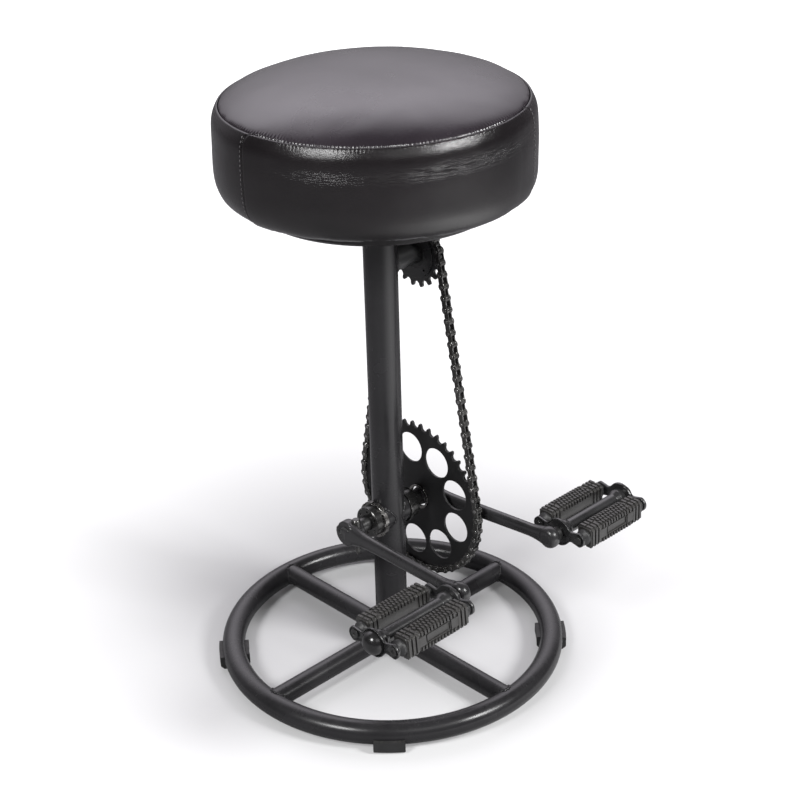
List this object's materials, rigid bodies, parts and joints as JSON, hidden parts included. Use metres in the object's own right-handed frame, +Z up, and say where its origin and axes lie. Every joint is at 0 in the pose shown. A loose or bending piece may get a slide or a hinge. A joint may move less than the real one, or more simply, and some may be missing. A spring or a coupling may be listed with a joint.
{
  "type": "bicycle drive stool",
  "caption": "Counter stool on a ring base with a single post, a round leather seat, and cottered bicycle cranks with block pedals, driven chain and sprockets as the footrest.",
  "frame": {"origin": "on the floor, on the axis of the post", "axes": "+Z up along the post; the cranks and pedals point to -Y, where the user sits facing; the crank axis lies along X, with the chain drive on the +X side"},
  "size_m": [0.4, 0.4069, 0.675],
  "materials": {
    "frame_paint": "satin black paint over welded steel tube",
    "crank_paint": "semi-gloss black paint over forged steel",
    "drive_paint": "satin black paint over stamped steel",
    "bright_trim": "worn bare steel",
    "chain_steel": "dark oiled steel",
    "pin_steel": "polished pin ends",
    "fastener_steel": "blackened steel",
    "spindle_steel": "turned steel",
    "bearing_steel": "polished balls",
    "pedal_metal": "gloss black plated steel",
    "block_rubber": "moulded black rubber with small lugs",
    "foot_rubber": "matt black rubber",
    "top_leather": "smooth black leather with a soft sheen",
    "side_leather": "smooth black leather",
    "seat_foam": "upholstery foam",
    "board_wood": "dark stained plywood"
  },
  "bodies": {
    "stool": {"base_ring": "frame_paint", "spokes": "frame_paint", "feet": "foot_rubber", "post": "frame_paint", "bracket_shell": "frame_paint", "cup_left": "crank_paint", "cup_right": "crank_paint", "lockring": "bright_trim", "bracket_balls": "bearing_steel", "hub_stub": "frame_paint", "hub_plug": "fastener_steel", "hub_core": "fastener_steel", "hub_cover": "drive_paint", "hub_balls": "bearing_steel", "hub_washer": "fastener_steel", "hub_bolt": "fastener_steel", "chain_outer_plates": "chain_steel", "chain_inner_plates": "chain_steel", "chain_pins": "pin_steel", "chain_rollers": "chain_steel", "seat_plate": "frame_paint", "seat_bolts": "fastener_steel", "seat_washers": "fastener_steel", "seat_board": "board_wood", "seat_foam": "seat_foam", "seat_top_panel": "top_leather", "seat_side_band": "side_leather"},
    "cranks": {"crank_spindle": "spindle_steel", "crank_left": "crank_paint", "crank_right": "crank_paint", "cotters": "fastener_steel", "chainring": "drive_paint", "chainring_collar": "bright_trim", "pedal_spindle_left": "spindle_steel", "pedal_locknut_left": "fastener_steel", "pedal_spindle_right": "spindle_steel", "pedal_locknut_right": "fastener_steel"},
    "pedal_left": {"pedal_barrel_left": "pedal_metal", "pedal_balls_left": "bearing_steel", "pedal_inner_plate_left": "pedal_metal", "pedal_outer_plate_left": "pedal_metal", "pedal_front_block_left": "block_rubber", "pedal_rear_block_left": "block_rubber", "pedal_ferrules_left": "pedal_metal", "pedal_bolts_left": "fastener_steel", "pedal_nuts_left": "fastener_steel", "pedal_dust_cap_left": "pedal_metal"},
    "pedal_right": {"pedal_barrel_right": "pedal_metal", "pedal_balls_right": "bearing_steel", "pedal_inner_plate_right": "pedal_metal", "pedal_outer_plate_right": "pedal_metal", "pedal_front_block_right": "block_rubber", "pedal_rear_block_right": "block_rubber", "pedal_ferrules_right": "pedal_metal", "pedal_bolts_right": "fastener_steel", "pedal_nuts_right": "fastener_steel", "pedal_dust_cap_right": "pedal_metal"},
    "sprocket": {"sprocket": "drive_paint"}
  },
  "joints": [
    {"name": "crank_turn", "type": "hinge", "parent": "stool", "child": "cranks", "pos_m": [0, 0, 0.1774], "axis": [-1, 0, 0], "range_deg": [-39, 213], "deforming": ["chain_outer_plates", "chain_inner_plates", "chain_pins", "chain_rollers"]},
    {"name": "pedal_left_turn", "type": "hinge", "parent": "cranks", "child": "pedal_left", "pos_m": [-0.1355, -0.17487, 0.18412], "axis": [1, 0, 0], "continuous": true},
    {"name": "pedal_right_turn", "type": "hinge", "parent": "cranks", "child": "pedal_right", "pos_m": [0.1355, -0.17467, 0.18808], "axis": [1, 0, 0], "continuous": true},
    {"name": "sprocket_turn", "type": "hinge", "parent": "stool", "child": "sprocket", "pos_m": [0.049, 0, 0.47114], "axis": [-1, 0, 0], "range_deg": [-96, 521]}
  ],
  "couplings": [
    {"joint": "sprocket_turn", "follows": "crank_turn", "ratio": 2.4444}
  ]
}
